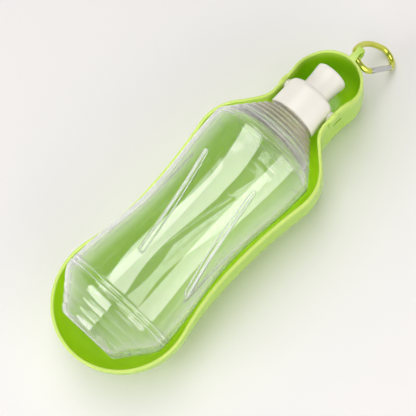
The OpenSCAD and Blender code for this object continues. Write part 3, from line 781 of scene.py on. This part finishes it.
def makeRing():
    r = ring
    near, far, wide, length = r["near"], r["far"], r["wide"], r["len"]
    k1, k2 = math.sqrt(wide - 2 * near), math.sqrt(wide - 2 * far)
    sx = near + (length - near - far) * k1 / (k1 + k2)
    sr = wide / 2 + (sx - near) ** 2 / (2 * k1 * k1)
    sy = wide - sr
    nearA = math.degrees(math.atan2(near - sy, near - sx))
    farA = math.degrees(math.atan2(far - sy, length - far - sx))
    bm = bmesh.new()
    made = bmesh.ops.create_circle(bm, cap_ends=True, segments=32, radius=r["rod"] * mm)
    bmesh.ops.rotate(bm, verts=made["verts"], cent=(0, 0, 0),
                     matrix=Matrix.Rotation(math.pi / 2, 3, "Y"))
    bmesh.ops.translate(bm, verts=made["verts"], vec=Vector((near, 0, 0)) * mm)
    face = list(bm.faces)[0]
    for centre, sweep, steps in (((near, near), nearA - 270, 26),
                                 ((sx, sy), farA - nearA, 26),
                                 ((length - far, far), -90 - farA, 26)):
        grown = bmesh.ops.spin(bm, geom=[face], cent=Vector((*centre, 0)) * mm,
                               axis=(0, 0, 1), angle=math.radians(sweep), steps=steps)
        face = [g for g in grown["geom_last"] if isinstance(g, bmesh.types.BMFace)][0]
    inside = [f for f in bm.faces if len(f.verts) > 4 and all(len(e.link_faces) > 2
                                                              for e in f.edges)]
    bmesh.ops.delete(bm, geom=inside, context="FACES_ONLY")
    crisp = [e for f in bm.faces if len(f.verts) > 4 for e in f.edges]
    bmesh.ops.bevel(bm, geom=crisp, offset=0.35 * mm, offset_type="OFFSET", segments=3,
                    profile=0.5, affect="EDGES", material=-1)
    bm.transform(ringFrame())
    body = finishPiece(bm, "ringRod", clip, "ring", 35)

    rivetX = near + r["gate"] + 0.3
    pinX = length - far - 0.3 - 1.5
    half = r["tongue"] / 2
    bm = bmesh.new()  # tongue with a round end
    made = bmesh.ops.create_circle(bm, cap_ends=False, segments=40, radius=1.3 * mm)
    for v in made["verts"]:
        if v.co.x < 0:
            v.co.x = (near - 1.0 - rivetX) * mm
    bmesh.ops.remove_doubles(bm, verts=bm.verts, dist=1e-6)
    face = bmesh.ops.contextual_create(bm, geom=bm.edges[:])["faces"][0]
    up = bmesh.ops.extrude_face_region(bm, geom=[face])["geom"]
    bmesh.ops.translate(bm, verts=[g for g in up if isinstance(g, bmesh.types.BMVert)],
                        vec=(0, 0, 2 * half * mm))
    bmesh.ops.translate(bm, verts=bm.verts, vec=Vector((rivetX, 0, -half)) * mm)
    bm.transform(ringFrame())
    finishPiece(bm, "ringTongue", clip, "ring", 35)

    bm = bmesh.new()  # nose blade with its hook
    points = [(length - far + 0.8, -1.5), (length - far + 0.8, 1.1), (pinX + 0.75, 1.1),
              (pinX + 0.75, 0)]
    points += [(pinX + 0.75 * math.cos(math.radians(a)), 0.75 * math.sin(math.radians(a)))
               for a in range(-15, -180, -15)]
    points += [(pinX - 0.75, 0), (pinX - 0.75, 1.1), (pinX - 1.3, 1.1), (pinX - 1.3, -1.5)]
    face = bm.faces.new([bm.verts.new(Vector((x, y, -half)) * mm) for x, y in points])
    up = bmesh.ops.extrude_face_region(bm, geom=[face])["geom"]
    bmesh.ops.translate(bm, verts=[g for g in up if isinstance(g, bmesh.types.BMVert)],
                        vec=(0, 0, 2 * half * mm))
    bm.transform(ringFrame())
    finishPiece(bm, "ringNose", clip, "ring", 35)
    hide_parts("carabiner_ring")


makeRing()
for name, material in {"sealing_ring": seal, "carabiner_gate": silver, "gate_rivet": steel,
                       "gate_pin": steel, "gate_plunger": steel,
                       "gate_spring": steel}.items():
    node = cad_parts[name]
    node.data.materials.clear()
    node.data.materials.append(material)
print("carabiner made")

stageSet = {
    "floor": (0.890, 0.860, 0.850, 1),
    "paperFrom": 0.16, "paperTo": 0.60,  # metres from the object
    "world": (1.0, 1.0, 1.0, 1), "worldLevel": 0.33, "lean": 0.95, "horizon": 0.85,
}


def makeStage(values):
    bm = bmesh.new()
    bmesh.ops.create_grid(bm, x_segments=1, y_segments=1, size=3)
    mesh = bpy.data.meshes.new("floor")
    bm.to_mesh(mesh)
    bm.free()
    floor = bpy.data.objects.new("floor", mesh)
    floor.location.z = -0.0002
    scene.collection.objects.link(floor)
    p = Paint("floorPaper")
    plain = p.surface(Base_Color=values["floor"], Roughness=0.9)
    white = p.add("Emission", {}, {"Color": values["floor"], "Strength": 1.0})
    away = p.add("VectorMath", {"operation": "LENGTH"}, [p.add("TexCoord", out="Object")],
                 "Value")
    far = p.add("MapRange", {"interpolation_type": "SMOOTHSTEP"},
                [away, values["paperFrom"], values["paperTo"], 0.0, 1.0])
    seen = p.add("LightPath", out="Is Camera Ray") + p.add("LightPath", out="Is Glossy Ray")
    seen = seen * far  # evenly pale away from the object
    mesh.materials.append(p.close(p.add("MixShader", {}, [seen, plain, white])))
    p = Paint("studio", bpy.data.worlds)
    place = p.add("TexCoord", out="Generated")
    height = p.add("SeparateXYZ", {}, [place], 2)
    low = p.add("MapRange", {"interpolation_type": "SMOOTHSTEP"},
                [height, 0.05, 0.45, 1.0, 0.0])
    level = low * (values["horizon"] - values["worldLevel"]) + values["worldLevel"]
    plain = p.add("LightPath", out="Is Diffuse Ray")
    across = p.add("SeparateXYZ", {}, [place], 1)
    soft = (across * values["lean"] + 1) * values["worldLevel"]
    level = level * (1 - plain) + plain * soft
    scene.world = p.close(p.add("Background", {}, [values["world"], level]),
                          "ShaderNodeOutputWorld")


lamps = {  # place in mm, aim, size in mm, watts
    "key": ((180, 200, 1170), (-20, 0, 40), (640, 1240), 6.8),
    "side": ((-150, -1000, 420), (-60, 0, 40), (1330, 760), 7.0),
    "foot": ((-996, 310, 590), (-95, 0, 40), (845, 548), 5.0),
}


def addLamp(name, place, aim, size, watts):
    data = bpy.data.lights.new(name, "AREA")
    data.shape, data.size, data.size_y = "RECTANGLE", size[0] * mm, size[1] * mm
    data.energy = watts
    lamp = bpy.data.objects.new(name, data)
    scene.collection.objects.link(lamp)
    lamp.location = Vector(place) * mm
    lamp.rotation_mode = "QUATERNION"
    lamp.rotation_quaternion = (Vector(aim) - Vector(place)).to_track_quat("-Z", "Y")


makeStage(stageSet)
for name, values in lamps.items():
    addLamp(name, *values)
print("stage set")
